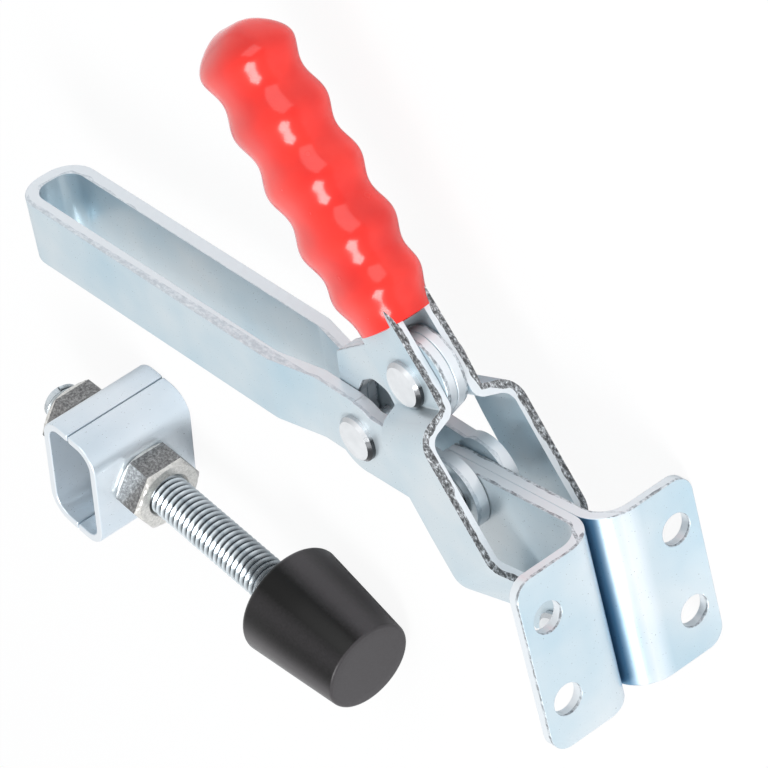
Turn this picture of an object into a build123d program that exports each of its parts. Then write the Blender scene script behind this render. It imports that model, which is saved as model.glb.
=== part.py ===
# Toggle clamp: flanged base, U-bar clamping arm, forked handle with grip, and a loose spindle set.
# X runs away from the mounting face, Y to the clamp's front, Z to its left side, which lies upwards.
# The origin is the centre of the bolt pattern on the mounting face. Lengths are in millimetres.
import os
from math import atan2, cos, degrees, radians, sin

from build123d import *

os.makedirs("parts", exist_ok=True)

# ---- base: two pressed plates back to back ----
sheet = 2.5  # thickness of the base, link and handle plates
flange_half_width = 21.5
base_half_height = 19.5
bend_radius = 8.0  # outside of the bend from flange to web
flange_corner = 4.0
bolt_spacing_across = 31.8
bolt_spacing_along = 19.0
bolt_hole = 6.6
web_front_reach = 18.0  # how far out the web runs at the front edge
web_corner = 5.0

# ---- pivots, seen from the side ----
arm_pivot = (39.0, -14.5)
arm_link_pivot = (66.2, -17.0)
handle_link_pivot = (44.9, -37.6)
handle_pivot = (14.07, 7.46)
rivet_radius = 2.5
rivet_head_radius = 4.9
rivet_head_height = 1.5
rivet_head_bevel = 0.7
pin_gap = 0.05  # radial running clearance at each rivet
side_gap = 0.1  # between plates that slide on each other

# ---- clamping arm: one flat bar bent to a U ----
arm_angle = -6.4  # open arm, from the X axis
arm_bar = 3.0  # bar thickness
arm_slot = 10.2  # clear width between the legs
arm_rear = 8.2  # rear edge of the bar from the pivot line
arm_height = 15.0
arm_length = 136.0  # pivot to the closed end
arm_bend = 7.0
arm_joggle_start = 39.0
arm_joggle_end = 51.0
arm_pivot_lobe = 7.8
arm_link_lobe = 8.5
arm_waist = 6.6  # rear edge between the two lobes

# ---- link plates ----
link_arm_end = 8.6
link_handle_end = 8.6
link_corner = (70.6, -32.6)  # stop corner that juts out behind the arm
window_radius = rivet_radius + 0.3
# travel of the arm rivet in the link plates, from its rest place
window_points = (
    (0.0, 0.0), (0.1, -2.6), (-1.0, -6.9), (-3.0, -9.7), (-5.3, -10.8), (-7.2, -10.2), (-8.0, -8.3), (-7.5, -6.0),
    (-5.3, -3.1), (-2.5, -1.0),
)

# ---- handle plates ----
fork_inside = 9.8  # half of the clear width of the fork
fork_boss = 7.2
joggle_low_start = 8.5  # along the plate, from the handle pivot
joggle_low_end = 18.0
fork_flat_end = 34.0
neck_direction = -75.0  # the upper joggle is bent across this direction
neck_overlap = 28.9  # how far before the link pivot the neck's sheet starts
joggle_high_start = 8.9  # before the link pivot
joggle_high_end = 6.6
joggle_radius = 3.0
grip_lean = -59.8  # direction of the grip from the X axis
grip_root = (52.0, -48.4)  # centre of the grip's mouth
plate_in_grip = 50.0
plate_top_half = 5.5

# ---- grip ----
grip_length = 61.0
grip_bumps = 5
grip_half_width = 11.2
grip_half_thick = 7.9
grip_wave = 0.9
grip_end_round = 5.0
grip_clearance = 0.05
grip_mouth_half_width = 8.2
grip_mouth_half_thick = 6.8

# ---- spindle set, lying beside the clamp ----
spindle_at = (162.6, 54.8)  # middle of the set, seen from above
spindle_turn = 164.1  # direction of the tip, from the X axis
bolt_radius = 4.9
bolt_length = 91.0
bolt_in_tip = 11.0
tip_length = 27.0
tip_big_radius = 13.2
tip_small_radius = 10.7
nut_across_flats = 16.0
nut_height = 8.0
washer_sheet = 2.0
washer_long = 30.0
washer_short = 27.0
washer_fold = 9.0
washer_bend = 3.2
washer_gap = 0.3  # between the two folded washers
upper_nut_at = 5.5  # from the bolt's free end

floor_level = -flange_half_width


def side_point(origin, direction, along, across):
    """A point given along and across a direction in the side view."""
    angle = radians(direction)
    return (
        origin[0] + along * cos(angle) - across * sin(angle),
        origin[1] + along * sin(angle) + across * cos(angle),
    )


# ---------------------------------------------------------------- base plates
web_half = sheet
web_end = arm_pivot[0] + 6.3

with BuildPart() as base_plate_left:
    with BuildSketch(Plane.XZ):
        with BuildLine():
            Line((0, flange_half_width), (0, bend_radius))
            RadiusArc((0, bend_radius), (bend_radius, 0), -bend_radius)
            Line((bend_radius, 0), (web_end, 0))
            Line((web_end, 0), (web_end, sheet))
            Line((web_end, sheet), (bend_radius, sheet))
            RadiusArc((bend_radius, sheet), (sheet, bend_radius), bend_radius - sheet)
            Line((sheet, bend_radius), (sheet, flange_half_width))
            Line((sheet, flange_half_width), (0, flange_half_width))
        make_face()
    extrude(amount=base_half_height, both=True)
    with BuildSketch(Plane.XY) as web_outline:
        Polygon(
            (-1, -base_half_height),
            (web_end, -base_half_height),
            (web_end, arm_pivot[1] + 6.5),
            (web_front_reach, base_half_height),
            (-1, base_half_height),
            align=None,
        )
        fillet(web_outline.vertices().filter_by_position(Axis.X, web_front_reach - 1, web_end - 0.1), web_corner)
        fillet(web_outline.vertices().filter_by_position(Axis.X, web_end - 0.1, web_end + 1).sort_by(Axis.Y)[-1],
               web_corner)
    extrude(amount=flange_half_width, mode=Mode.INTERSECT)
    with BuildSketch(Plane.YZ):
        with GridLocations(bolt_spacing_along, bolt_spacing_across, 2, 2):
            Circle(bolt_hole / 2)
    extrude(amount=sheet, mode=Mode.SUBTRACT)
    with BuildSketch(Plane.XY):
        with Locations(arm_pivot, handle_pivot):
            Circle(rivet_radius + pin_gap)
    extrude(amount=sheet, mode=Mode.SUBTRACT)
    free_corners = base_plate_left.edges().filter_by(Axis.X).group_by(Axis.Z)[-1]
    fillet(free_corners, flange_corner)

with BuildPart() as base_plate_right:
    mirror(base_plate_left.part, about=Plane.XY)

# ---------------------------------------------------------------- clamping arm
arm_plane = Plane(origin=(*arm_pivot, 0), x_dir=(cos(radians(arm_angle)), sin(radians(arm_angle)), 0), z_dir=(0, 0, 1))
arm_plan = Plane(origin=arm_plane.origin, x_dir=arm_plane.x_dir, z_dir=-arm_plane.y_dir)
leg_inside = web_half + side_gap
slot_half = arm_slot / 2
arm_link_local = arm_plane.to_local_coords(Vector(*arm_link_pivot, 0))

with BuildPart() as clamping_arm:
    with BuildSketch(arm_plan) as arm_outside:
        Polygon(
            (-20, -leg_inside - arm_bar),
            (arm_joggle_start, -leg_inside - arm_bar),
            (arm_joggle_end, -slot_half - arm_bar),
            (arm_length, -slot_half - arm_bar),
            (arm_length, slot_half + arm_bar),
            (arm_joggle_end, slot_half + arm_bar),
            (arm_joggle_start, leg_inside + arm_bar),
            (-20, leg_inside + arm_bar),
            align=None,
        )
        fillet(arm_outside.vertices().filter_by_position(Axis.X, arm_length - 1, arm_length + 1), arm_bend)
        fillet(arm_outside.vertices().filter_by_position(Axis.X, arm_joggle_start - 1, arm_joggle_end + 1), 6.0)
    extrude(amount=25, both=True)
    with BuildSketch(arm_plan) as arm_inside:
        Polygon(
            (-21, -leg_inside),
            (arm_joggle_start, -leg_inside),
            (arm_joggle_end, -slot_half),
            (arm_length - arm_bar, -slot_half),
            (arm_length - arm_bar, slot_half),
            (arm_joggle_end, slot_half),
            (arm_joggle_start, leg_inside),
            (-21, leg_inside),
            align=None,
        )
        fillet(arm_inside.vertices().filter_by_position(Axis.X, arm_length - 5, arm_length), arm_bend - arm_bar)
        fillet(arm_inside.vertices().filter_by_position(Axis.X, arm_joggle_start - 1, arm_joggle_end + 1), 6.0)
    extrude(amount=26, both=True, mode=Mode.SUBTRACT)
    with BuildSketch(arm_plane) as arm_side:
        Circle(arm_pivot_lobe)
        with Locations((arm_link_local.X, arm_link_local.Y)):
            Circle(arm_link_lobe)
        Polygon(
            (0, arm_pivot_lobe),
            (arm_link_local.X - 1, arm_link_local.Y + arm_link_lobe - 0.1),
            (arm_link_local.X, -arm_waist),
            (0, -arm_waist),
            align=None,
        )
        with Locations(((arm_link_local.X + arm_length) / 2, arm_height / 2 - arm_rear)):
            Rectangle(arm_length - arm_link_local.X, arm_height)
    extrude(amount=slot_half + arm_bar + 1, both=True, mode=Mode.INTERSECT)
    with BuildSketch(Plane.XY):
        with Locations(arm_pivot, arm_link_pivot):
            Circle(rivet_radius + pin_gap)
    extrude(amount=slot_half + arm_bar, both=True, mode=Mode.SUBTRACT)

# ---------------------------------------------------------------- link plates
with BuildPart() as link_plate_left:
    with BuildSketch(Plane.XY) as link_outline:
        with Locations(arm_link_pivot):
            Circle(link_arm_end)
        with Locations(handle_link_pivot):
            Circle(link_handle_end)
        with Locations(link_corner):
            Circle(1.2)
        make_hull()
        with Locations(handle_link_pivot):
            Circle(rivet_radius + pin_gap, mode=Mode.SUBTRACT)
    extrude(amount=sheet)
    with BuildSketch(Plane.XY) as link_window:
        with Locations(*[(arm_link_pivot[0] + dx, arm_link_pivot[1] + dy) for dx, dy in window_points]):
            Circle(window_radius)
        make_hull()
    extrude(amount=sheet, mode=Mode.SUBTRACT)

with BuildPart() as link_plate_right:
    mirror(link_plate_left.part, about=Plane.XY)

# ---------------------------------------------------------------- handle plates
fork_run = (handle_link_pivot[0] - handle_pivot[0], handle_link_pivot[1] - handle_pivot[1])
fork_direction = degrees(atan2(fork_run[1], fork_run[0]))
fork_plan = Plane(
    origin=(*handle_pivot, 0),
    x_dir=(cos(radians(fork_direction)), sin(radians(fork_direction)), 0),
    z_dir=(sin(radians(fork_direction)), -cos(radians(fork_direction)), 0),
)
plate_inside = web_half + side_gap
neck_plan = Plane(
    origin=(*handle_link_pivot, 0),
    x_dir=(cos(radians(neck_direction)), sin(radians(neck_direction)), 0),
    z_dir=(sin(radians(neck_direction)), -cos(radians(neck_direction)), 0),
)
plate_end = 80


def grip_point(along, across):
    """A point of the side view measured from the grip's mouth."""
    return side_point(grip_root, grip_lean, along, across)


with BuildPart() as handle_plate_left:
    with BuildSketch(fork_plan):
        with BuildLine():
            FilletPolyline(
                (-20, plate_inside),
                (joggle_low_start, plate_inside),
                (joggle_low_end, fork_inside),
                (fork_flat_end, fork_inside),
                radius=joggle_radius,
            )
            offset(amount=sheet, side=Side.LEFT)
        make_face()
    extrude(amount=30, both=True)
    with BuildSketch(neck_plan):
        with BuildLine():
            FilletPolyline(
                (-neck_overlap, fork_inside),
                (-joggle_high_start, fork_inside),
                (-joggle_high_end, plate_inside),
                (plate_end, plate_inside),
                radius=joggle_radius,
            )
            offset(amount=sheet, side=Side.LEFT)
        make_face()
    extrude(amount=30, both=True)
    with BuildSketch(Plane.XY) as plate_outline:
        Polygon(
            (10, 4),
            (19.3, -5.5),
            (25.6, -16.3),
            (30.5, -25.0),
            (34.8, -32.5),
            (38.0, -39.5),
            grip_point(0, -7.0),
            grip_point(plate_in_grip, -plate_top_half),
            grip_point(plate_in_grip, plate_top_half),
            grip_point(-1, 6.6),
            (55.6, -41.0),
            (53.0, -34.8),
            (48.8, -29.5),
            (45.4, -21.8),
            (38.4, -8.6),
            (32.6, 1.4),
            (22, 10),
            align=None,
        )
        fillet(plate_outline.vertices().filter_by_position(Axis.X, 28, 60), 3.0)
        with Locations(handle_pivot):
            Circle(fork_boss)
    extrude(amount=fork_inside + sheet, mode=Mode.INTERSECT)
    with BuildSketch(Plane.XY):
        with Locations(handle_pivot, handle_link_pivot):
            Circle(rivet_radius + pin_gap)
    extrude(amount=fork_inside + sheet, mode=Mode.SUBTRACT)

with BuildPart() as handle_plate_right:
    mirror(handle_plate_left.part, about=Plane.XY)

# ---------------------------------------------------------------- grip
grip_axis = Vector(cos(radians(grip_lean)), sin(radians(grip_lean)), 0)
grip_across = Vector(-sin(radians(grip_lean)), cos(radians(grip_lean)), 0)


def grip_plane(along):
    """Section plane of the grip at a distance from its mouth."""
    origin = Vector(*grip_root, 0) + grip_axis * along
    return Plane(origin=origin, x_dir=grip_across, z_dir=grip_axis)


grip_step = (grip_length + 2) / (2 * grip_bumps)
with BuildPart() as grip:
    with BuildSketch(grip_plane(-2)):
        Ellipse(grip_mouth_half_width, grip_mouth_half_thick)
    for crest in range(2 * grip_bumps - 1):
        swell = -grip_wave if crest % 2 == 0 else grip_wave
        with BuildSketch(grip_plane(-2 + (crest + 1) * grip_step)):
            Ellipse(grip_half_width + swell, grip_half_thick + swell * 0.5)
    with BuildSketch(grip_plane(grip_length)):
        Ellipse(grip_half_width - grip_wave, grip_half_thick - grip_wave * 0.5)
    loft(ruled=True)
    end_face = grip.faces().sort_by(Axis(tuple(grip_root) + (0,), tuple(grip_axis)))[-1]
    fillet(end_face.edges(), grip_end_round)
    with BuildSketch(Plane.XY):
        Polygon(
            grip_point(-6, -8.1),
            grip_point(plate_in_grip + grip_clearance, -plate_top_half - grip_clearance),
            grip_point(plate_in_grip + grip_clearance, plate_top_half + grip_clearance),
            grip_point(-6, 8.1),
            align=None,
        )
    extrude(amount=plate_inside + sheet + grip_clearance, both=True, mode=Mode.SUBTRACT)

# ---------------------------------------------------------------- rivets


def rivet(centre, half_grip, head_gap):
    """A rivet across the clamp with a bevelled flat head at each end."""
    with BuildPart() as made:
        with BuildSketch(Plane(origin=(*centre, 0), x_dir=(1, 0, 0), z_dir=(0, -1, 0))):
            with BuildLine():
                head = half_grip + head_gap
                top = head + rivet_head_height
                Polyline(
                    (0, -top),
                    (rivet_head_radius - rivet_head_bevel, -top),
                    (rivet_head_radius, -top + rivet_head_bevel),
                    (rivet_head_radius, -head),
                    (rivet_radius, -head),
                    (rivet_radius, head),
                    (rivet_head_radius, head),
                    (rivet_head_radius, top - rivet_head_bevel),
                    (rivet_head_radius - rivet_head_bevel, top),
                    (0, top),
                    (0, -top),
                )
            make_face()
        revolve(axis=Axis((*centre, 0), (0, 0, 1)))
    return made


leg_outside = leg_inside + arm_bar
plate_outside = plate_inside + sheet
arm_base_rivet = rivet(arm_pivot, leg_outside, side_gap)
handle_base_rivet = rivet(handle_pivot, plate_outside, side_gap)
arm_link_rivet = rivet(arm_link_pivot, leg_outside, 0)
handle_link_rivet = rivet(handle_link_pivot, plate_outside, 0)

# ---------------------------------------------------------------- spindle set
upper_washer_at = upper_nut_at + nut_height
washer_pair = 2 * washer_fold + washer_gap
lower_nut_at = upper_washer_at + washer_pair
tip_start = bolt_length - bolt_in_tip
set_length = tip_start + tip_length
washer_rest = upper_washer_at + washer_fold
washer_rise = washer_short / 2 - tip_big_radius
tilt = atan2(washer_rise, tip_start - washer_rest)  # the set lies on a washer and on the tip's rim
turn = radians(spindle_turn)
spindle_axis = Vector(cos(turn) * cos(tilt), sin(turn) * cos(tilt), -sin(tilt))
spindle_side = Vector(-sin(turn), cos(turn), 0)
rim_height = floor_level + tip_big_radius * cos(tilt)
rim_centre = Vector(*spindle_at, rim_height) + Vector(cos(turn), sin(turn), 0) * (tip_start - set_length / 2)
bolt_end = rim_centre - spindle_axis * tip_start


def spindle_plane(along):
    """Plane across the spindle at a distance from the bolt's free end."""
    return Plane(origin=bolt_end + spindle_axis * along, x_dir=spindle_side, z_dir=spindle_axis)


with BuildPart() as spindle_bolt:
    with BuildSketch(spindle_plane(0)):
        Circle(bolt_radius)
    extrude(amount=bolt_length)
    chamfer(spindle_bolt.edges().filter_by(GeomType.CIRCLE), 1.0)

with BuildPart() as rubber_tip:
    with BuildSketch(spindle_plane(tip_start)):
        Circle(tip_big_radius)
    with BuildSketch(spindle_plane(set_length)):
        Circle(tip_small_radius)
    loft()
    with BuildSketch(spindle_plane(tip_start)):
        Circle(bolt_radius)
    extrude(amount=bolt_length - tip_start, mode=Mode.SUBTRACT)


def hex_nut(along):
    """A hexagon nut with its lower face at a distance from the bolt's end."""
    with BuildPart() as made:
        with BuildSketch(spindle_plane(along)):
            RegularPolygon(nut_across_flats / 2, 6, major_radius=False, rotation=30)
            Circle(bolt_radius + pin_gap, mode=Mode.SUBTRACT)
        extrude(amount=nut_height)
    return made


upper_nut = hex_nut(upper_nut_at)
lower_nut = hex_nut(lower_nut_at)


def flanged_washer(seat, fold_way):
    """A washer seated on a nut's face, with two edges folded away from that nut."""
    with BuildPart() as made:
        plane = spindle_plane(seat)
        section = Plane(origin=plane.origin, x_dir=plane.x_dir, z_dir=-plane.y_dir)
        with BuildSketch(section):
            with BuildLine():
                half = washer_long / 2
                FilletPolyline(
                    (-half, fold_way * washer_fold),
                    (-half, 0),
                    (half, 0),
                    (half, fold_way * washer_fold),
                    radius=washer_bend,
                )
                offset(amount=washer_sheet, side=Side.LEFT if fold_way > 0 else Side.RIGHT)
            make_face()
        extrude(amount=washer_short / 2, both=True)
        with BuildSketch(plane):
            Circle(bolt_radius + 0.3)
        extrude(amount=fold_way * washer_fold, mode=Mode.SUBTRACT)
    return made


upper_washer = flanged_washer(upper_washer_at, 1)
lower_washer = flanged_washer(lower_nut_at, -1)

# ---------------------------------------------------------------- files
pieces = {
    "base_plate_left": base_plate_left,
    "base_plate_right": base_plate_right,
    "clamping_arm": clamping_arm,
    "link_plate_left": link_plate_left,
    "link_plate_right": link_plate_right,
    "handle_plate_left": handle_plate_left,
    "handle_plate_right": handle_plate_right,
    "grip": grip,
    "arm_base_rivet": arm_base_rivet,
    "handle_base_rivet": handle_base_rivet,
    "arm_link_rivet": arm_link_rivet,
    "handle_link_rivet": handle_link_rivet,
    "spindle_bolt": spindle_bolt,
    "rubber_tip": rubber_tip,
    "upper_nut": upper_nut,
    "lower_nut": lower_nut,
    "upper_washer": upper_washer,
    "lower_washer": lower_washer,
}
for name, piece in pieces.items():
    piece.part.label = name
    export_step(piece.part, f"parts/{name}.step")
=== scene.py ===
from math import atan2, cos, pi, radians, sin, sqrt

import bmesh
import bpy
from mathutils import Matrix, Vector


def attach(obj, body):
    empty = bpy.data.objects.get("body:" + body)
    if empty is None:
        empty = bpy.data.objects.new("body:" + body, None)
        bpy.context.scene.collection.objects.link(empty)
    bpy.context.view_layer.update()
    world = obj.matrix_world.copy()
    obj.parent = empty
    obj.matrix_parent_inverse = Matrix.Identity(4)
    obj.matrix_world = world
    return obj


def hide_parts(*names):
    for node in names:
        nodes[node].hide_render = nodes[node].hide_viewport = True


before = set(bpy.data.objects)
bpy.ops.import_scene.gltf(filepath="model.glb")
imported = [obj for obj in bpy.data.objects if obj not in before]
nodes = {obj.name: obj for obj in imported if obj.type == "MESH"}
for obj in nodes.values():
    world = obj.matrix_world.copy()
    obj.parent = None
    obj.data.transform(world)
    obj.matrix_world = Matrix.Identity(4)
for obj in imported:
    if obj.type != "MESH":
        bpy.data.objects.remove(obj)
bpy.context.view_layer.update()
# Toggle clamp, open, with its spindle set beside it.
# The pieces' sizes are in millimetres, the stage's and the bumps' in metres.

mm = 0.001


def newMaterial(name):
    material = bpy.data.materials.new(name)
    material.use_nodes = True
    tree = material.node_tree
    return material, tree, tree.nodes["Principled BSDF"]


def addNode(tree, kind, inputs=None, **settings):
    node = tree.nodes.new(kind)
    for key, value in settings.items():
        setattr(node, key, value)
    for key, value in (inputs or {}).items():
        node.inputs[key].default_value = value
    return node


def objectNoise(tree, scale, detail=4.0, stretch=(1, 1, 1), rough=0.5):
    coords = addNode(tree, "ShaderNodeTexCoord")
    mapping = addNode(tree, "ShaderNodeMapping", {"Scale": stretch})
    noise = addNode(tree, "ShaderNodeTexNoise", {"Scale": scale, "Detail": detail, "Roughness": rough})
    tree.links.new(coords.outputs["Object"], mapping.inputs["Vector"])
    tree.links.new(mapping.outputs["Vector"], noise.inputs["Vector"])
    return noise


def colourRamp(tree, source, stops):
    ramp = addNode(tree, "ShaderNodeValToRGB")
    ramp.color_ramp.elements[0].position = stops[0][0]
    ramp.color_ramp.elements[0].color = (*stops[0][1], 1)
    ramp.color_ramp.elements[1].position = stops[-1][0]
    ramp.color_ramp.elements[1].color = (*stops[-1][1], 1)
    for position, colour in stops[1:-1]:
        ramp.color_ramp.elements.new(position).color = (*colour, 1)
    tree.links.new(source, ramp.inputs["Fac"])
    return ramp


def valueRange(tree, source, low, high):
    spread = addNode(tree, "ShaderNodeMapRange", {"To Min": low, "To Max": high})
    tree.links.new(source, spread.inputs["Value"])
    return spread.outputs["Result"]


def joinValues(tree, first, second, operation):
    # first and second are sockets or numbers
    node = addNode(tree, "ShaderNodeMath", operation=operation)
    for socket, given in zip(node.inputs, (first, second)):
        if isinstance(given, (int, float)):
            socket.default_value = given
        else:
            tree.links.new(given, socket)
    return node.outputs[0]


def mixColours(tree, share, first, second, blend="MIX"):
    # first and second are sockets or colours; share runs from the first to the second
    node = addNode(tree, "ShaderNodeMix", data_type="RGBA", blend_type=blend)
    tree.links.new(share, node.inputs[0])
    for socket, given in zip((node.inputs[6], node.inputs[7]), (first, second)):
        if isinstance(given, tuple):
            socket.default_value = (*given, 1)
        else:
            tree.links.new(given, socket)
    return node.outputs[2]


def greyStops(stops):
    return [(at, (grey, grey, grey)) for at, grey in stops]


def attributeValue(tree, name):
    return addNode(tree, "ShaderNodeAttribute", attribute_name=name).outputs["Fac"]


def addBump(tree, shader, height, strength, distance):
    bump = addNode(tree, "ShaderNodeBump", {"Strength": strength, "Distance": distance})
    tree.links.new(height, bump.inputs["Height"])
    tree.links.new(bump.outputs["Normal"], shader.inputs["Normal"])


zincFinishes = {
    "zincSheet": {"pale": (0.62, 0.68, 0.71), "cool": (0.43, 0.57, 0.65)},
    "zincBendsPaintedLight": {"pale": (0.62, 0.68, 0.71), "cool": (0.43, 0.57, 0.65)},
    "zincWasher": {"pale": (0.76, 0.81, 0.85), "cool": (0.62, 0.71, 0.78)},
}
zincSurface = {"metallic": 0.55, "cloudScale": 42.0, "grainScale": 2600.0, "roughness": (0.24, 0.36)}
# painted light: where the base's two bends meet, a painted shade darkens the groove and a painted highlight
# brightens a strip on each side;
# the stops are shares of a band across them, which fades out along X
groovePaintedLight = {
    "halfBand": 9.0,
    "fadedAt": 10.0,
    "fullAt": 6.0,
    "dark": (0.20, 0.38, 0.55),
    "shadeStops": (0.36, 0.45, 0.55, 0.64),
    "bright": (0.95, 0.97, 1.0),
    "highlightStops": [(0.0, 0.0), (0.22, 0.55), (0.32, 0.0), (0.59, 0.0), (0.68, 0.2), (1.0, 0.0)],
}


# paints shade into the groove between the bends, and a highlight strip beside it, onto the zinc colour
def withPaintedGrooveLight(tree, colour):
    coords = addNode(tree, "ShaderNodeTexCoord")
    parts = addNode(tree, "ShaderNodeSeparateXYZ")
    tree.links.new(coords.outputs["Object"], parts.inputs[0])
    half = groovePaintedLight["halfBand"] * mm
    across = addNode(tree, "ShaderNodeMapRange", {"From Min": -half, "From Max": half})
    tree.links.new(parts.outputs["Z"], across.inputs["Value"])
    bright = colourRamp(tree, across.outputs["Result"], greyStops(groovePaintedLight["highlightStops"]))
    white = (1.0, 1.0, 1.0)
    shades = (white, groovePaintedLight["dark"], groovePaintedLight["dark"], white)
    dark = colourRamp(tree, across.outputs["Result"], list(zip(groovePaintedLight["shadeStops"], shades)))
    ends = {"From Min": groovePaintedLight["fadedAt"] * mm, "From Max": groovePaintedLight["fullAt"] * mm}
    fade = addNode(tree, "ShaderNodeMapRange", ends)
    tree.links.new(parts.outputs["X"], fade.inputs["Value"])
    darkened = mixColours(tree, fade.outputs["Result"], colour, dark.outputs["Color"], "MULTIPLY")
    share = joinValues(tree, bright.outputs["Color"], fade.outputs["Result"], "MULTIPLY")
    return mixColours(tree, share, darkened, groovePaintedLight["bright"])


def zincMaterial(name, paintGrooveLight=False):
    material, tree, shader = newMaterial(name)
    finish = zincFinishes[name]
    clouds = objectNoise(tree, zincSurface["cloudScale"], 3.0)
    ramp = colourRamp(tree, clouds.outputs["Fac"], [(0.3, finish["cool"]), (0.7, finish["pale"])])
    colour = ramp.outputs["Color"]
    # the base's sheet gets the painted groove shade and highlight
    if paintGrooveLight:
        colour = withPaintedGrooveLight(tree, colour)
    tree.links.new(colour, shader.inputs["Base Color"])
    shader.inputs["Metallic"].default_value = zincSurface["metallic"]
    grain = objectNoise(tree, zincSurface["grainScale"], 2.0)
    roughness = valueRange(tree, grain.outputs["Fac"], *zincSurface["roughness"])
    tree.links.new(roughness, shader.inputs["Roughness"])
    addBump(tree, shader, grain.outputs["Fac"], 0.06, 0.00002)
    return material


# a sheared edge is burnished on one side of the sheet and torn and speckled on the other
shearFinishes = {
    "heavyShearedEdge": {
        "dark": (0.07, 0.073, 0.076),
        "grey": (0.26, 0.27, 0.28),
        "tornFrom": 0.71,
        "speckScale": 1900.0,
    },
    "lightShearedEdge": {
        "dark": (0.26, 0.28, 0.30),
        "grey": (0.56, 0.61, 0.65),
        "tornFrom": 0.98,
        "speckScale": 1300.0,
    },
    "cleanShearedEdge": {
        "dark": (0.52, 0.57, 0.61),
        "grey": (0.64, 0.69, 0.73),
        "tornFrom": 0.97,
        "speckScale": 1300.0,
    },
}
shearSurface = {
    "burnished": (0.74, 0.78, 0.81),
    "metallic": 0.5,
    "waver": 0.5,
    "waverScale": 260.0,
    "blend": 0.04,
}


def shearMaterial(name):
    material, tree, shader = newMaterial(name)
    finish = shearFinishes[name]
    bright = shearSurface["burnished"]
    specks = objectNoise(tree, finish["speckScale"], 6.0, (0.6, 0.6, 1), 0.7)
    tornStops = [(0.42, finish["dark"]), (0.54, finish["grey"]), (0.64, bright)]
    torn = colourRamp(tree, specks.outputs["Fac"], tornStops)
    waver = objectNoise(tree, shearSurface["waverScale"], 3.0)
    swing = joinValues(tree, waver.outputs["Fac"], shearSurface["waver"], "MULTIPLY")
    place = joinValues(tree, attributeValue(tree, "edgeDepth"), swing, "ADD")
    start = finish["tornFrom"]
    band = colourRamp(tree, place, greyStops([(start, 0.0), (start + shearSurface["blend"], 1.0)]))
    colour = mixColours(tree, band.outputs["Color"], bright, torn.outputs["Color"])
    tree.links.new(colour, shader.inputs["Base Color"])
    shader.inputs["Metallic"].default_value = shearSurface["metallic"]
    tree.links.new(valueRange(tree, specks.outputs["Fac"], 0.25, 0.5), shader.inputs["Roughness"])
    addBump(tree, shader, specks.outputs["Fac"], 0.2, 0.00005)
    return material


vinylFinish = {
    "red": (0.90, 0.026, 0.013),
    "deep": (0.72, 0.012, 0.006),
    "cloudScale": 90.0,
    "rippleScale": 260.0,
    "gloss": {"IOR": 1.5, "Specular IOR Level": 0.3, "Coat Weight": 0.5, "Coat Roughness": 0.14},
}


def vinylMaterial():
    material, tree, shader = newMaterial("dippedVinyl")
    clouds = objectNoise(tree, vinylFinish["cloudScale"], 2.0)
    ramp = colourRamp(tree, clouds.outputs["Fac"], [(0.3, vinylFinish["deep"]), (0.7, vinylFinish["red"])])
    tree.links.new(ramp.outputs["Color"], shader.inputs["Base Color"])
    for inputName, value in vinylFinish["gloss"].items():
        shader.inputs[inputName].default_value = value
    ripple = objectNoise(tree, vinylFinish["rippleScale"], 2.0)
    tree.links.new(valueRange(tree, ripple.outputs["Fac"], 0.2, 0.3), shader.inputs["Roughness"])
    addBump(tree, shader, ripple.outputs["Fac"], 0.08, 0.0003)
    return material


rubberFinish = {
    "dark": (0.001, 0.001, 0.001),
    "light": (0.055, 0.051, 0.054),
    "grainScale": 1800.0,
    "grainShare": 0.18,
    "specular": 0.22,
}


def rubberMaterial():
    material, tree, shader = newMaterial("mouldedRubber")
    grain = objectNoise(tree, rubberFinish["grainScale"], 4.0)
    grainPart = joinValues(tree, grain.outputs["Fac"], rubberFinish["grainShare"], "MULTIPLY")
    # the tone adds the painted light (lighter end, highlight streaks) that the tip's mesh carries
    tone = joinValues(tree, grainPart, attributeValue(tree, "paintedLightTone"), "ADD")
    ramp = colourRamp(tree, tone, [(0.35, rubberFinish["dark"]), (0.95, rubberFinish["light"])])
    tree.links.new(ramp.outputs["Color"], shader.inputs["Base Color"])
    tree.links.new(valueRange(tree, grain.outputs["Fac"], 0.26, 0.36), shader.inputs["Roughness"])
    shader.inputs["Specular IOR Level"].default_value = rubberFinish["specular"]
    addBump(tree, shader, grain.outputs["Fac"], 0.15, 0.00004)
    return material


# painted shade: the thread's grooves are painted dark, as the shade and dark reflections that fall in them,
# by the crest attribute
threadFinishAndShade = {
    "cloudScale": 420.0,
    "grooveShade": (0.035, 0.045, 0.055),
    "cool": (0.56, 0.63, 0.67),
    "pale": (0.80, 0.86, 0.90),
    "grooveTop": 0.1,
    "crestFoot": 0.75,
    "metallic": 0.75,
}


def threadMaterial():
    material, tree, shader = newMaterial("rolledThread")
    clouds = objectNoise(tree, threadFinishAndShade["cloudScale"], 4.0)
    stops = [(0.3, threadFinishAndShade["cool"]), (0.7, threadFinishAndShade["pale"])]
    ramp = colourRamp(tree, clouds.outputs["Fac"], stops)
    # the painted groove shade fades into the thread's colour between these two crest values
    slope = {"From Min": threadFinishAndShade["grooveTop"], "From Max": threadFinishAndShade["crestFoot"]}
    rise = addNode(tree, "ShaderNodeMapRange", slope)
    tree.links.new(attributeValue(tree, "crest"), rise.inputs["Value"])
    colour = mixColours(tree, rise.outputs["Result"], threadFinishAndShade["grooveShade"], ramp.outputs["Color"])
    tree.links.new(colour, shader.inputs["Base Color"])
    shader.inputs["Metallic"].default_value = threadFinishAndShade["metallic"]
    tree.links.new(valueRange(tree, clouds.outputs["Fac"], 0.16, 0.3), shader.inputs["Roughness"])
    return material


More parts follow.
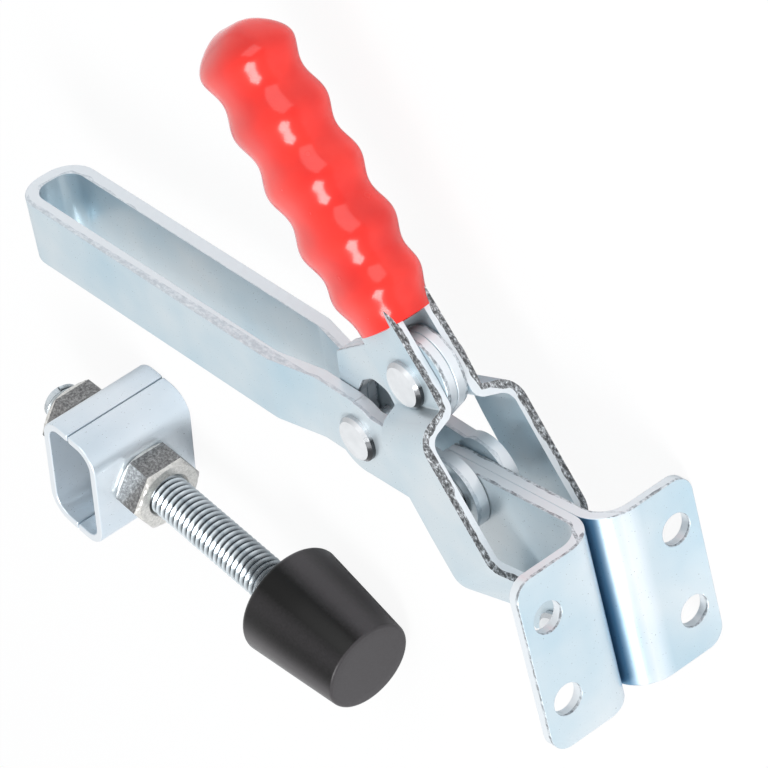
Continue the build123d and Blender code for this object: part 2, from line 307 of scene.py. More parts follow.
# painted light: by its normal, a rivet's bevel is painted dark as shade on the side that faces one given
# direction, with a painted highlight band just before that shade
rivetFinishAndLight = {
    "shadedSide": (-0.90, 0.32, 0.30),
    "grainScale": 380.0,
    "grainShare": 0.25,
    "metallic": 0.6,
    # a painted highlight near the middle of these stops, painted shade at the last one
    "stops": [
        (0.0, (0.50, 0.52, 0.54)),
        (0.36, (0.66, 0.68, 0.70)),
        (0.52, (0.80, 0.82, 0.84)),
        (0.78, (0.62, 0.64, 0.66)),
        (0.92, (0.03, 0.032, 0.035)),
    ],
}


def rivetMaterial():
    material, tree, shader = newMaterial("rivetSteel")
    coords = addNode(tree, "ShaderNodeTexCoord")
    facing = addNode(tree, "ShaderNodeVectorMath", {1: rivetFinishAndLight["shadedSide"]}, operation="DOT_PRODUCT")
    tree.links.new(coords.outputs["Normal"], facing.inputs[0])
    grain = objectNoise(tree, rivetFinishAndLight["grainScale"], 3.0)
    grainPart = joinValues(tree, grain.outputs["Fac"], rivetFinishAndLight["grainShare"], "MULTIPLY")
    # the normal's facing, plus a little grain, places the painted highlight and shade
    tone = joinValues(tree, facing.outputs["Value"], grainPart, "ADD")
    ramp = colourRamp(tree, tone, rivetFinishAndLight["stops"])
    tree.links.new(ramp.outputs["Color"], shader.inputs["Base Color"])
    shader.inputs["Metallic"].default_value = rivetFinishAndLight["metallic"]
    tree.links.new(valueRange(tree, grain.outputs["Fac"], 0.18, 0.3), shader.inputs["Roughness"])
    return material


nutFinishes = {
    "nutSide": [(0.36, (0.09, 0.09, 0.09)), (0.52, (0.22, 0.22, 0.22)), (0.72, (0.46, 0.46, 0.45))],
    "nutFace": [(0.34, (0.48, 0.48, 0.46)), (0.5, (0.66, 0.65, 0.62)), (0.68, (0.80, 0.79, 0.76))],
}
nutSurface = {"metallic": 0.7, "speckScale": 1700.0}


def nutMaterial(name):
    material, tree, shader = newMaterial(name)
    specks = objectNoise(tree, nutSurface["speckScale"], 6.0, rough=0.7)
    ramp = colourRamp(tree, specks.outputs["Fac"], nutFinishes[name])
    tree.links.new(ramp.outputs["Color"], shader.inputs["Base Color"])
    shader.inputs["Metallic"].default_value = nutSurface["metallic"]
    tree.links.new(valueRange(tree, specks.outputs["Fac"], 0.22, 0.42), shader.inputs["Roughness"])
    addBump(tree, shader, specks.outputs["Fac"], 0.25, 0.00005)
    return material


zinc = zincMaterial("zincSheet")
zincWithPaintedGrooveLight = zincMaterial("zincBendsPaintedLight", paintGrooveLight=True)
washerZinc = zincMaterial("zincWasher")
heavyEdge = shearMaterial("heavyShearedEdge")
lightEdge = shearMaterial("lightShearedEdge")
cleanEdge = shearMaterial("cleanShearedEdge")
vinyl = vinylMaterial()
rubber = rubberMaterial()
rolledThread = threadMaterial()
rivetSteel = rivetMaterial()
nutFace = nutMaterial("nutFace")
nutSide = nutMaterial("nutSide")
print("materials ready")


def linkedObject(name, data):
    made = bpy.data.objects.new(name, data)
    bpy.context.scene.collection.objects.link(made)
    return made


def addPiece(name, mesh, body, replaced):
    piece = linkedObject(name, mesh)
    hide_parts(*replaced)
    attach(piece, body)
    return piece


def meshFrom(work, name, materials, sharpAngle=35.0):
    mesh = bpy.data.meshes.new(name)
    work.to_mesh(mesh)
    work.free()
    for material in materials:
        mesh.materials.append(material)
    for polygon in mesh.polygons:
        polygon.use_smooth = True
    mesh.set_sharp_from_angle(angle=radians(sharpAngle))
    return mesh


def edgeRounded(piece, width):
    rounding = piece.modifiers.new("roundedEdges", "BEVEL")
    rounding.width = width * mm
    rounding.segments = 2
    rounding.limit_method = "ANGLE"
    rounding.angle_limit = radians(35)
    rounding.harden_normals = True


plateTable = {
    "base_plate_left": {"body": "base", "kind": "base", "round": 0.35, "sheet": zincWithPaintedGrooveLight},
    "base_plate_right": {"body": "base", "kind": "base", "round": 0.35, "sheet": zincWithPaintedGrooveLight},
    "clamping_arm": {"body": "arm", "kind": "arm", "round": 0.45, "edge": cleanEdge},
    "link_plate_left": {"body": "link", "kind": "flat", "round": 0.3},
    "link_plate_right": {"body": "link", "kind": "flat", "round": 0.3},
    "handle_plate_left": {"body": "handle", "kind": "flat", "round": 0.35, "edge": heavyEdge},
    "handle_plate_right": {"body": "handle", "kind": "flat", "round": 0.35, "edge": heavyEdge},
}
baseShape = {"flangeEnd": 2.55, "webStart": 8.6}
armShape = {"pivot": (39.0, -14.5), "turn": -6.4, "legsEnd": 120.0}
# parts of a face's normal that tell a cut face from a broad one
cutLimits = {"base": 0.3, "baseBend": 0.5, "armSide": 0.8, "armLeg": 0.2, "flat": 0.15}
meshCleaning = {"weld": 0.002, "flatAngle": 0.6}


def isCutFace(kind, face):
    normal = face.normal
    centre = face.calc_center_median() / mm
    if kind == "base":
        if centre.x < baseShape["flangeEnd"]:
            return abs(normal.x) < cutLimits["base"]
        if centre.x > baseShape["webStart"]:
            return abs(normal.z) < cutLimits["base"]
        return abs(normal.y) > cutLimits["baseBend"]
    if kind == "arm":
        turn = radians(armShape["turn"])
        fromPivot = centre - Vector((*armShape["pivot"], 0))
        along = fromPivot.x * cos(turn) + fromPivot.y * sin(turn)
        across = normal.y * cos(turn) - normal.x * sin(turn)
        onLeg = along < armShape["legsEnd"]
        return abs(across) > cutLimits["armSide"] or (onLeg and abs(normal.z) < cutLimits["armLeg"])
    return abs(normal.z) < cutLimits["flat"]


def platePiece(nodeName, setup):
    work = bmesh.new()
    work.from_mesh(nodes[nodeName].data)
    bmesh.ops.remove_doubles(work, verts=work.verts, dist=meshCleaning["weld"] * mm)
    flat = radians(meshCleaning["flatAngle"])
    bmesh.ops.dissolve_limit(work, angle_limit=flat, verts=work.verts, edges=work.edges)
    work.normal_update()
    for face in work.faces:
        face.material_index = 1 if isCutFace(setup["kind"], face) else 0
    outward = 1 if "right" not in nodeName else -1
    depth = work.verts.layers.float.new("edgeDepth")
    for vert in work.verts:  # one on one side of the sheet, nought on the other
        broad = [face for face in vert.link_faces if face.material_index == 0]
        facing = sum(face.normal.z * outward - face.normal.x for face in broad)
        vert[depth] = 1.0 if facing > 0 else 0.0
    mesh = meshFrom(work, nodeName + "Sheet", [setup.get("sheet", zinc), setup.get("edge", lightEdge)])
    piece = addPiece(nodeName + "Dressed", mesh, setup["body"], [nodeName])
    edgeRounded(piece, setup["round"])


for nodeName, setup in plateTable.items():
    platePiece(nodeName, setup)
print("plates dressed")


rivetSizes = {"Shank Radius": 2.5, "Head Radius": 4.9, "Head Height": 1.5, "Head Bevel": 0.7}
rivetSegments = 72
# each seat is the pivot's X and Y and how far the shank reaches to each side
rivetSeats = {
    "base": {
        "nodes": ["arm_base_rivet", "handle_base_rivet"],
        "seats": [(39.0, -14.5, 5.7), (14.07, 7.46, 5.2)],
    },
    "arm": {"nodes": ["arm_link_rivet"], "seats": [(66.2, -17.0, 5.6)]},
    "handle": {"nodes": ["handle_link_rivet"], "seats": [(44.9, -37.6, 5.1)]},
}


def inMetres(sizes):
    return {name: size * mm for name, size in sizes.items()}


def startTree(name, sizes):
    # a node group with one named length for each size, and a material
    tree = bpy.data.node_groups.new(name, "GeometryNodeTree")
    tree.interface.new_socket(name="Geometry", in_out="INPUT", socket_type="NodeSocketGeometry")
    tree.interface.new_socket(name="Geometry", in_out="OUTPUT", socket_type="NodeSocketGeometry")
    for sizeName, size in inMetres(sizes).items():
        socket = tree.interface.new_socket(name=sizeName, in_out="INPUT", socket_type="NodeSocketFloat")
        socket.default_value = size
    tree.interface.new_socket(name="Material", in_out="INPUT", socket_type="NodeSocketMaterial")
    return tree


def finishTree(tree, geometry, materialSocket):
    realized = addNode(tree, "GeometryNodeRealizeInstances")
    painted = addNode(tree, "GeometryNodeSetMaterial")
    output = addNode(tree, "NodeGroupOutput")
    tree.links.new(geometry, realized.inputs[0])
    tree.links.new(realized.outputs[0], painted.inputs["Geometry"])
    tree.links.new(materialSocket, painted.inputs["Material"])
    tree.links.new(painted.outputs[0], output.inputs[0])


def instancesOn(tree, points, instance):
    placed = addNode(tree, "GeometryNodeInstanceOnPoints")
    tree.links.new(points, placed.inputs["Points"])
    tree.links.new(instance, placed.inputs["Instance"])
    return placed


def liftedShape(tree, shape, height):
    offset = addNode(tree, "ShaderNodeCombineXYZ")
    moved = addNode(tree, "GeometryNodeTransform")
    tree.links.new(height, offset.inputs["Z"])
    tree.links.new(offset.outputs[0], moved.inputs["Translation"])
    tree.links.new(shape, moved.inputs["Geometry"])
    return moved.outputs[0]


def rivetHead(tree, given):
    # a disc with a bevelled crown on it
    link = tree.links.new
    rim = joinValues(tree, given["Head Height"], given["Head Bevel"], "SUBTRACT")
    disc = addNode(tree, "GeometryNodeMeshCylinder")
    link(given["Segments"], disc.inputs["Vertices"])
    link(given["Head Radius"], disc.inputs["Radius"])
    link(rim, disc.inputs["Depth"])
    cone = addNode(tree, "GeometryNodeMeshCone")
    link(given["Segments"], cone.inputs["Vertices"])
    link(joinValues(tree, given["Head Radius"], given["Head Bevel"], "SUBTRACT"), cone.inputs["Radius Top"])
    link(given["Head Radius"], cone.inputs["Radius Bottom"])
    link(given["Head Bevel"], cone.inputs["Depth"])
    head = addNode(tree, "GeometryNodeJoinGeometry")
    link(liftedShape(tree, disc.outputs["Mesh"], joinValues(tree, rim, 0.5, "MULTIPLY")), head.inputs[0])
    link(liftedShape(tree, cone.outputs["Mesh"], rim), head.inputs[0])
    return head.outputs[0]


def rivetTree():
    tree = startTree("rivetRow", rivetSizes)
    segments = tree.interface.new_socket(name="Segments", in_out="INPUT", socket_type="NodeSocketInt")
    segments.default_value = rivetSegments
    given = addNode(tree, "NodeGroupInput").outputs
    link = tree.links.new
    reach = addNode(tree, "GeometryNodeInputNamedAttribute", {"Name": "reach"}, data_type="FLOAT")
    shank = addNode(tree, "GeometryNodeMeshCylinder", {"Depth": 2.0})
    link(given["Segments"], shank.inputs["Vertices"])
    link(given["Shank Radius"], shank.inputs["Radius"])
    stretch = addNode(tree, "ShaderNodeCombineXYZ", {"X": 1.0, "Y": 1.0})
    link(reach.outputs["Attribute"], stretch.inputs["Z"])
    shanks = instancesOn(tree, given["Geometry"], shank.outputs["Mesh"])
    link(stretch.outputs[0], shanks.inputs["Scale"])
    head = rivetHead(tree, given)
    joined = addNode(tree, "GeometryNodeJoinGeometry")
    link(shanks.outputs[0], joined.inputs[0])
    for side, turn in ((1.0, 0.0), (-1.0, pi)):
        offset = addNode(tree, "ShaderNodeCombineXYZ")
        link(joinValues(tree, reach.outputs["Attribute"], side, "MULTIPLY"), offset.inputs["Z"])
        moved = addNode(tree, "GeometryNodeSetPosition")
        link(given["Geometry"], moved.inputs["Geometry"])
        link(offset.outputs[0], moved.inputs["Offset"])
        heads = instancesOn(tree, moved.outputs[0], head)
        heads.inputs["Rotation"].default_value = (turn, 0, 0)
        link(heads.outputs[0], joined.inputs[0])
    finishTree(tree, joined.outputs[0], given["Material"])
    return tree


def bakeTree(holder, tree, values):
    modifier = holder.modifiers.new(tree.name, "NODES")
    modifier.node_group = tree
    for item in tree.interface.items_tree:
        if item.item_type == "SOCKET" and item.in_out == "INPUT" and item.name in values:
            modifier[item.identifier] = values[item.name]
    bpy.context.view_layer.update()
    evaluated = holder.evaluated_get(bpy.context.evaluated_depsgraph_get())
    mesh = bpy.data.meshes.new_from_object(evaluated)
    holder.modifiers.remove(modifier)
    bpy.data.objects.remove(holder)
    return mesh


rivetNodes = rivetTree()
rivetValues = {**inMetres(rivetSizes), "Segments": rivetSegments, "Material": rivetSteel}
for body, setup in rivetSeats.items():
    seatMesh = bpy.data.meshes.new(body + "RivetSeats")
    seatMesh.from_pydata([(x * mm, y * mm, 0) for x, y, reach in setup["seats"]], [], [])
    reachData = seatMesh.attributes.new("reach", "FLOAT", "POINT")
    for item, (x, y, reach) in zip(reachData.data, setup["seats"]):
        item.value = reach * mm
    mesh = bakeTree(linkedObject(body + "RivetHolder", seatMesh), rivetNodes, rivetValues)
    mesh.name = body + "Rivets"
    for polygon in mesh.polygons:
        polygon.use_smooth = True
    mesh.set_sharp_from_angle(angle=radians(30))
    addPiece(body + "RivetHeads", mesh, body, setup["nodes"])
print("rivets set")


spindle = {
    "middle": (162.6, 54.8),
    "turn": 164.1,
    "floor": -21.5,
    "boltRadius": 4.9,
    "boltLength": 91.0,
    "boltInTip": 11.0,
    "upperNutAt": 5.5,
    "nutFlats": 16.0,
    "nutHeight": 8.0,
    "washerLong": 30.0,
    "washerShort": 27.0,
    "washerSheet": 2.0,
    "washerFold": 9.0,
    "washerBend": 6.0,
    "washerGap": 0.3,
    "tipLength": 27.0,
    "tipBig": 13.2,
    "tipSmall": 10.7,
}
tipStart = spindle["boltLength"] - spindle["boltInTip"]
upperSeat = spindle["upperNutAt"] + spindle["nutHeight"]
lowerSeat = upperSeat + 2 * spindle["washerFold"] + spindle["washerGap"]


def spindleFrame():
    # the set lies on a washer's edge and on the tip's rim, so its axis tilts a little
    turn = radians(spindle["turn"])
    tipEnd = tipStart + spindle["tipLength"]
    washerRest = upperSeat + spindle["washerFold"]
    tilt = atan2(spindle["washerShort"] / 2 - spindle["tipBig"], tipStart - washerRest)
    axis = Vector((cos(turn) * cos(tilt), sin(turn) * cos(tilt), -sin(tilt)))
    level = Vector((cos(turn), sin(turn), 0))
    side = Vector((-sin(turn), cos(turn), 0))
    rimHeight = spindle["floor"] + spindle["tipBig"] * cos(tilt)
    rim = Vector((*spindle["middle"], rimHeight)) + level * (tipStart - tipEnd / 2)
    start = (rim - axis * tipStart) * mm
    upward = axis.cross(side)
    return Matrix.Translation(start) @ Matrix((side, upward, axis)).transposed().to_4x4()


spindlePlace = spindleFrame()


def ringAt(work, segments, along, radiusAt):
    # radiusAt gives the radius for each turn about the axis
    ring = []
    for step in range(segments):
        turn = 2 * pi * step / segments
        radius = radiusAt(turn) * mm
        ring.append(work.verts.new((radius * cos(turn), radius * sin(turn), along * mm)))
    return ring


def bridgeRings(work, low, high, materialIndex=0):
    # a ring of one vertex is a pole
    count = max(len(low), len(high))
    for step in range(count):
        following = (step + 1) % count
        if len(low) == 1:
            corners = (low[0], high[following], high[step])
        elif len(high) == 1:
            corners = (low[step], low[following], high[0])
        else:
            corners = (low[step], low[following], high[following], high[step])
        work.faces.new(corners).material_index = materialIndex


def lathe(profile, segments):
    # profile: (radius, along) pairs in millimetres, from one end to the other
    work = bmesh.new()
    rings = []
    for radius, along in profile:
        if radius == 0:
            rings.append([work.verts.new((0, 0, along * mm))])
        else:
            rings.append(ringAt(work, segments, along, lambda turn: radius))
    for low, high in zip(rings[:-1], rings[1:]):
        bridgeRings(work, low, high)
    bmesh.ops.recalc_face_normals(work, faces=work.faces)
    return work


def roundedCorner(centre, radius, first, last, steps=6):
    points = []
    for step in range(steps + 1):
        turn = radians(first + (last - first) * step / steps)
        points.append((centre[0] + radius * cos(turn), centre[1] + radius * sin(turn)))
    return points


def foldedWasher(seat, way):
    # a sheet with two edges folded over on wide bends; way is the side that the folds point to
    half = spindle["washerLong"] / 2
    outline = []
    for inset in (0.0, spindle["washerSheet"]):
        reach = half - inset
        bend = spindle["washerBend"] - inset
        line = [(-reach, spindle["washerFold"])]
        line += roundedCorner((-reach + bend, inset + bend), bend, 180, 270, 10)
        line += roundedCorner((reach - bend, inset + bend), bend, 270, 360, 10)
        line += [(reach, spindle["washerFold"])]
        outline += line if inset == 0 else reversed(line)
    work = bmesh.new()
    ends = []
    for lift in (-spindle["washerShort"] / 2, spindle["washerShort"] / 2):
        ends.append([work.verts.new((x * mm, lift * mm, (seat + way * z) * mm)) for x, z in outline])
    bridgeRings(work, *ends)
    count = len(outline)
    for end in ends:
        for step in range(count // 2 - 1):
            face = work.faces.new((end[step], end[step + 1], end[count - 2 - step], end[count - 1 - step]))
            face.material_index = 1
    bmesh.ops.recalc_face_normals(work, faces=work.faces)
    work.transform(spindlePlace)
    return meshFrom(work, "foldedWasher", [washerZinc, lightEdge], 40.0)


for nodeName, seat, way in (("upper_washer", upperSeat, 1), ("lower_washer", lowerSeat, -1)):
    washer = addPiece(nodeName + "Folded", foldedWasher(seat, way), "arm", [nodeName])
    edgeRounded(washer, 0.4)

tipShape = {
    "skin": 0.02,
    "holeGap": 0.1,
    "flatInset": 3.0,
    "bigRound": 1.7,
    "smallRound": 0.8,
    "bulge": 0.05,
    "segments": 128,
    # painted light: the tip's flat end is painted lighter than its side, and the side gets painted
    # highlight streaks running along the tip
    "endDepth": 0.4,
    "litEndTone": 0.8,
    "sideTone": 0.5,
    "highlightStreaks": [(0.28, 3, 1.2), (0.22, 7, 0.4)],  # strength, number around the tip, phase
}


def rubberTip():
    base = tipStart + tipShape["skin"]
    end = tipStart + spindle["tipLength"]
    top = end - tipShape["skin"]
    big = spindle["tipBig"]
    small = spindle["tipSmall"]
    bigRound = tipShape["bigRound"]
    smallRound = tipShape["smallRound"]
    hole = spindle["boltRadius"] + tipShape["holeGap"]
    profile = [(0, base), (hole, base), (big - tipShape["flatInset"], base)]
    profile += roundedCorner((big - bigRound, base + bigRound), bigRound, -90, -5)
    profile += [((big + small) / 2 + tipShape["bulge"], (tipStart + end) / 2)]
    profile += roundedCorner((small - smallRound, top - smallRound), smallRound, 5, 90, 5)
    profile += [(small - tipShape["flatInset"], top), (0, top)]
    work = lathe(profile, tipShape["segments"])
    # painted light per vertex: a lighter end face and highlight streaks by the turn about the axis
    paintedLightTone = work.verts.layers.float.new("paintedLightTone")
    for vert in work.verts:
        turn = atan2(vert.co.y, vert.co.x)
        vert[paintedLightTone] = tipShape["litEndTone"]
        if vert.co.z < (end - tipShape["endDepth"]) * mm:
            waves = [share * cos(count * turn + phase) for share, count, phase in tipShape["highlightStreaks"]]
            vert[paintedLightTone] = tipShape["sideTone"] + sum(waves)
    work.transform(spindlePlace)
    return meshFrom(work, "rubberTipMoulding", [rubber], 50.0)


addPiece("rubberTipMoulding", rubberTip(), "arm", ["rubber_tip"])

nutShape = {
    "segments": 144,
    "levels": [0, 0.25, 0.55, 0.9, 1.3],  # up from each end
    "sideBands": range(3, 7),
    "faceShare": 0.985,
    "chamferSlope": 1.75,
    "boreGap": 0.05,
    "boreChamfer": 0.6,
}


def fromFlat(turn):
    # angle from the middle of the nearest flat
    return (turn + pi / 6) % (pi / 3) - pi / 6


def hexNut(at):
    # a hexagon whose corners are chamfered by a cone at both ends
    half = spindle["nutFlats"] / 2
    height = spindle["nutHeight"]
    bore = spindle["boltRadius"] + nutShape["boreGap"]
    chamfer = nutShape["boreChamfer"]
    segments = nutShape["segments"]
    levels = nutShape["levels"] + [height / 2] + [height - level for level in reversed(nutShape["levels"])]
    work = bmesh.new()
    rings = []
    for level in levels:
        limit = half * nutShape["faceShare"] + min(level, height - level) * nutShape["chamferSlope"]
        rings.append(ringAt(work, segments, level, lambda turn: min(half / cos(fromFlat(turn)), limit)))
    mouth = bore + chamfer
    for level, radius in ((height, mouth), (height - chamfer, bore), (chamfer, bore), (0, mouth)):
        rings.append(ringAt(work, segments, level, lambda turn: radius))
    rings.append(rings[0])
    for index, (low, high) in enumerate(zip(rings[:-1], rings[1:])):
        bridgeRings(work, low, high, 1 if index in nutShape["sideBands"] else 0)
    bmesh.ops.recalc_face_normals(work, faces=work.faces)
    work.transform(spindlePlace @ Matrix.Translation((0, 0, at * mm)))
    return meshFrom(work, "hexNut", [nutFace, nutSide], 28.0)


addPiece("upperNutForged", hexNut(spindle["upperNutAt"]), "arm", ["upper_nut"])
addPiece("lowerNutForged", hexNut(lowerSeat), "arm", ["lower_nut"])

boltShape = {
    "threadStart": 1.2,
    "threadShort": 1.4,
    "stepsPerTurn": 40,
    "coreDepth": 0.765,
    "coreStart": 0.02,
    "coreChamfer": 0.5,
    "coreShort": 0.2,
    "coreCrest": 0.7,
    "coreSegments": 96,
}
threadSizes = {
    "Major Radius": spindle["boltRadius"],
    "Depth": 0.75,
    "Pitch": 1.5,
    "Length": tipStart - boltShape["threadShort"],
}


def threadTree():
    # a square section swept along a helix
    tree = startTree("threadHelix", threadSizes)
    given = addNode(tree, "NodeGroupInput").outputs
    link = tree.links.new
    middle = joinValues(tree, given["Major Radius"], given["Depth"], "SUBTRACT")
    helix = addNode(tree, "GeometryNodeCurveSpiral", {"Resolution": boltShape["stepsPerTurn"]})
    link(joinValues(tree, given["Length"], given["Pitch"], "DIVIDE"), helix.inputs["Rotations"])
    link(middle, helix.inputs["Start Radius"])
    link(middle, helix.inputs["End Radius"])
    link(given["Length"], helix.inputs["Height"])
    steady = addNode(tree, "GeometryNodeSetCurveNormal", mode="Z_UP")
    link(helix.outputs["Curve"], steady.inputs["Curve"])
    ridge = addNode(tree, "GeometryNodeCurvePrimitiveCircle", {"Resolution": 4})
    link(given["Depth"], ridge.inputs["Radius"])
    swept = addNode(tree, "GeometryNodeCurveToMesh", {"Fill Caps": True})
    link(steady.outputs["Curve"], swept.inputs["Curve"])
    link(ridge.outputs["Curve"], swept.inputs["Profile Curve"])
    finishTree(tree, swept.outputs[0], given["Material"])
    return tree


def boltCore():
    core = spindle["boltRadius"] - boltShape["coreDepth"]
    chamfer = boltShape["coreChamfer"]
    start = boltShape["coreStart"]
    end = spindle["boltLength"] - boltShape["coreShort"]
    profile = [(0, start), (core - chamfer, start), (core, chamfer), (core, end), (0, end)]
    work = lathe(profile, boltShape["coreSegments"])
    # the core gets one set value of the mask for the painted groove shade
    crest = work.verts.layers.float.new("crest")
    for vert in work.verts:
        vert[crest] = boltShape["coreCrest"]
    mesh = bpy.data.meshes.new("boltCore")
    work.to_mesh(mesh)
    work.free()
    return mesh


def threadedBolt():
    holder = linkedObject("threadHolder", bpy.data.meshes.new("threadSeed"))
    values = {**inMetres(threadSizes), "Material": rolledThread}
    work = bmesh.new()
    work.from_mesh(bakeTree(holder, threadTree(), values))
    bmesh.ops.translate(work, verts=work.verts, vec=(0, 0, boltShape["threadStart"] * mm))
    crest = work.verts.layers.float.new("crest")
    # a mask for the painted shade in the thread's grooves
    for vert in work.verts:  # nought in the groove, one on the crest
        inward = spindle["boltRadius"] - sqrt(vert.co.x ** 2 + vert.co.y ** 2) / mm
        vert[crest] = max(0.0, min(1.0, 1 - inward / threadSizes["Depth"]))
    work.from_mesh(boltCore())
    work.transform(spindlePlace)
    return meshFrom(work, "spindleThread", [rolledThread], 60.0)


addPiece("spindleThread", threadedBolt(), "arm", ["spindle_bolt"])
print("spindle set made")


gripShape = {
    "root": (52.0, -48.4),
    "lean": -59.8,
    "mouth": -2.0,
    "length": 61.0,
    "halfWidth": 11.2,
    "halfThick": 7.9,
    "mouthWidth": 8.2,
    "mouthThick": 6.8,
    "flare": 5.5,
    "bumps": 5,
    "wave": 1.05,
    "waveThick": 0.5,
    "endRound": 7.5,
    "endThick": 0.92,
    "leastWidth": 0.3,
    "leastThick": 0.25,
    "squareness": 2.35,
    "wall": 1.3,
    "innerEnd": 8.0,
    "lipLength": 0.5,
    "lipShare": 0.7,
    "firstRow": 0.25,
    "lastRow": 0.05,
    "rows": 200,
    "around": 112,
}


def smoothStep(value):
    value = max(0.0, min(1.0, value))
    return value * value * (3 - 2 * value)


def gripHalf(along):
    # half width and half thickness of the grip at a distance from its root
    run = (along - gripShape["mouth"]) / (gripShape["length"] - gripShape["mouth"])
    swell = gripShape["wave"] * cos(2 * pi * (run * gripShape["bumps"] - 0.5))
    growth = smoothStep(run * gripShape["flare"])
    width = gripShape["mouthWidth"] + (gripShape["halfWidth"] - gripShape["mouthWidth"]) * growth
    thick = gripShape["mouthThick"] + (gripShape["halfThick"] - gripShape["mouthThick"]) * growth
    width += swell * growth
    thick += swell * gripShape["waveThick"] * growth
    left = gripShape["length"] - along
    if left < gripShape["endRound"]:
        share = 1 - left / gripShape["endRound"]
        inset = gripShape["endRound"] * (1 - sqrt(max(0.0, 1 - share * share)))
        width -= inset
        thick -= inset * gripShape["endThick"]
    return max(width, gripShape["leastWidth"]), max(thick, gripShape["leastThick"])


def gripPoint(along, across, height):
    lean = radians(gripShape["lean"])
    x = gripShape["root"][0] + along * cos(lean) - across * sin(lean)
    y = gripShape["root"][1] + along * sin(lean) + across * cos(lean)
    return (x * mm, y * mm, height * mm)


def gripRing(work, along, width, thick):
    # a rounded rectangle: cosine and sine raised to a power below one
    power = 2 / gripShape["squareness"]
    ring = []
    for step in range(gripShape["around"]):
        turn = 2 * pi * step / gripShape["around"]
        across = width * abs(cos(turn)) ** power * (1 if cos(turn) >= 0 else -1)
        height = thick * abs(sin(turn)) ** power * (1 if sin(turn) >= 0 else -1)
        ring.append(work.verts.new(gripPoint(along, across, height)))
    return ring


def gripMesh():
    work = bmesh.new()
    mouth = gripShape["mouth"]
    width, thick = gripHalf(mouth)
    wall = gripShape["wall"]
    lip = wall * gripShape["lipShare"]
    rings = [
        gripRing(work, gripShape["innerEnd"], width - wall, thick - wall),
        gripRing(work, mouth + gripShape["lipLength"], width - wall, thick - wall),
        gripRing(work, mouth, width - lip, thick - lip),
    ]
    first = mouth + gripShape["firstRow"]
    last = gripShape["length"] - gripShape["lastRow"]
    for row in range(gripShape["rows"] + 1):
        along = first + (last - first) * row / gripShape["rows"]
        rings.append(gripRing(work, along, *gripHalf(along)))
    for low, high in zip(rings[:-1], rings[1:]):
        bridgeRings(work, low, high)
    work.faces.new(rings[-1])
    work.faces.new(list(reversed(rings[0])))
    bmesh.ops.recalc_face_normals(work, faces=work.faces)
    return meshFrom(work, "dippedGrip", [vinyl], 60.0)


addPiece("dippedGrip", gripMesh(), "handle", ["grip"])
print("grip made")


def mixSurface(tree, share, first, second, outputName):
    mix = addNode(tree, "ShaderNodeMixShader")
    tree.links.new(share, mix.inputs["Fac"])
    tree.links.new(first.outputs[0], mix.inputs[1])
    tree.links.new(second.outputs[0], mix.inputs[2])
    tree.links.new(mix.outputs[0], tree.nodes[outputName].inputs["Surface"])


floorSetup = {"level": -0.02155, "half": 6.0, "colour": (0.92, 0.92, 0.92), "glow": 0.92, "roughness": 0.9}


def floorMaterial():
    material, tree, shader = newMaterial("paleFloor")
    shader.inputs["Base Color"].default_value = (*floorSetup["colour"], 1)
    shader.inputs["Roughness"].default_value = floorSetup["roughness"]
    glow = addNode(tree, "ShaderNodeEmission", {"Color": (1, 1, 1, 1), "Strength": 1.0})
    path = addNode(tree, "ShaderNodeLightPath")
    share = joinValues(tree, path.outputs["Is Camera Ray"], floorSetup["glow"], "MULTIPLY")
    mixSurface(tree, share, shader, glow, "Material Output")
    return material


corners = [(x * floorSetup["half"], y * floorSetup["half"], floorSetup["level"])
           for x, y in ((-1, -1), (1, -1), (1, 1), (-1, 1))]
floorMesh = bpy.data.meshes.new("floor")
floorMesh.from_pydata(corners, [], [(0, 1, 2, 3)])
floorMesh.materials.append(floorMaterial())
floor = linkedObject("floor", floorMesh)

worldSetup = {"tint": (0.93, 0.96, 1.0), "strength": 0.52}


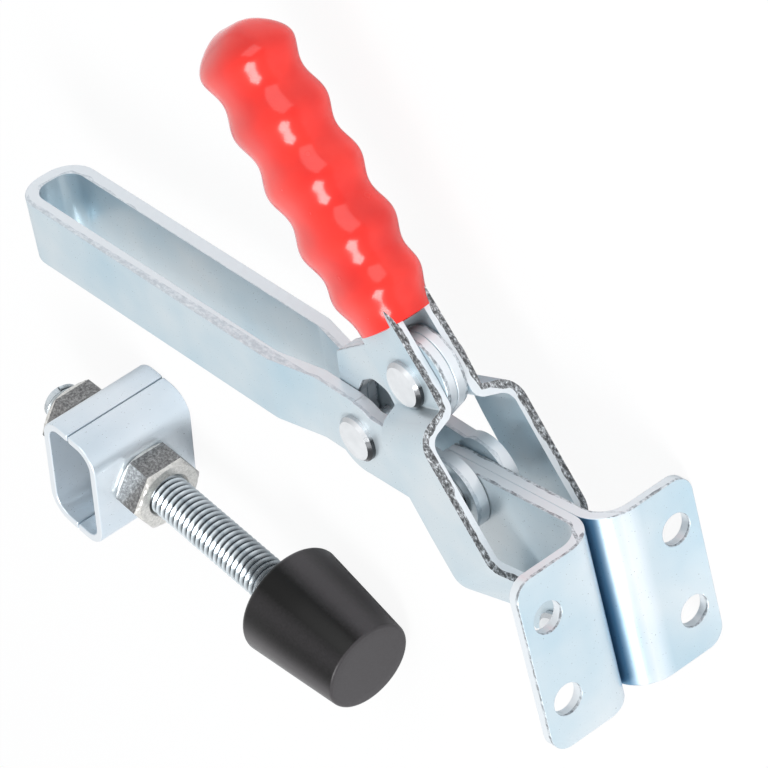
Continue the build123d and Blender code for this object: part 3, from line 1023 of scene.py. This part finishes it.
def studioWorld():
    world = bpy.data.worlds.new("studio")
    bpy.context.scene.world = world
    world.use_nodes = True
    tree = world.node_tree
    ambient = tree.nodes["Background"]
    ambient.inputs["Color"].default_value = (*worldSetup["tint"], 1)
    ambient.inputs["Strength"].default_value = worldSetup["strength"]
    white = addNode(tree, "ShaderNodeBackground", {"Color": (1, 1, 1, 1), "Strength": 1.0})
    path = addNode(tree, "ShaderNodeLightPath")
    seen = joinValues(tree, path.outputs["Is Camera Ray"], path.outputs["Is Glossy Ray"], "MAXIMUM")
    seen = joinValues(tree, seen, path.outputs["Is Transmission Ray"], "MAXIMUM")
    mixSurface(tree, seen, ambient, white, "World Output")


studioWorld()
lampTable = {
    "keyLamp": {"place": (-0.55, 0.35, 0.85), "size": 0.55, "power": 9.6},
    "fillLamp": {"place": (-0.2, -0.9, 0.5), "size": 0.9, "power": 4.0},
}
lampTarget = Vector((0.08, -0.01, 0.0))
for lampName, setup in lampTable.items():
    data = bpy.data.lights.new(lampName, "AREA")
    data.energy = setup["power"]
    data.size = setup["size"]
    lamp = linkedObject(lampName, data)
    lamp.location = setup["place"]
    lamp.rotation_euler = (lampTarget - Vector(setup["place"])).to_track_quat("-Z", "Y").to_euler()

cameraSetup = {
    "place": (-0.5574, -0.4894, 0.3700),
    "target": (0.0616, -0.0280, 0.0),
    "roll": -122.62,
    "lens": 210.94,
    "sensor": 36.0,
}


def placeCamera():
    data = bpy.data.cameras.new("camera")
    data.lens = cameraSetup["lens"]
    data.sensor_width = cameraSetup["sensor"]
    place = Vector(cameraSetup["place"])
    forward = (Vector(cameraSetup["target"]) - place).normalized()
    level = forward.cross(Vector((0, 0, 1))).normalized()
    upright = level.cross(forward)
    roll = radians(cameraSetup["roll"])
    right = level * cos(roll) + upright * sin(roll)
    top = right.cross(forward)
    turn = Matrix((right, top, -forward)).transposed().to_4x4()
    camera = linkedObject("camera", data)
    camera.matrix_world = Matrix.Translation(place) @ turn
    bpy.context.scene.camera = camera


placeCamera()
bpy.context.scene.view_settings.view_transform = "Standard"
print("stage set")
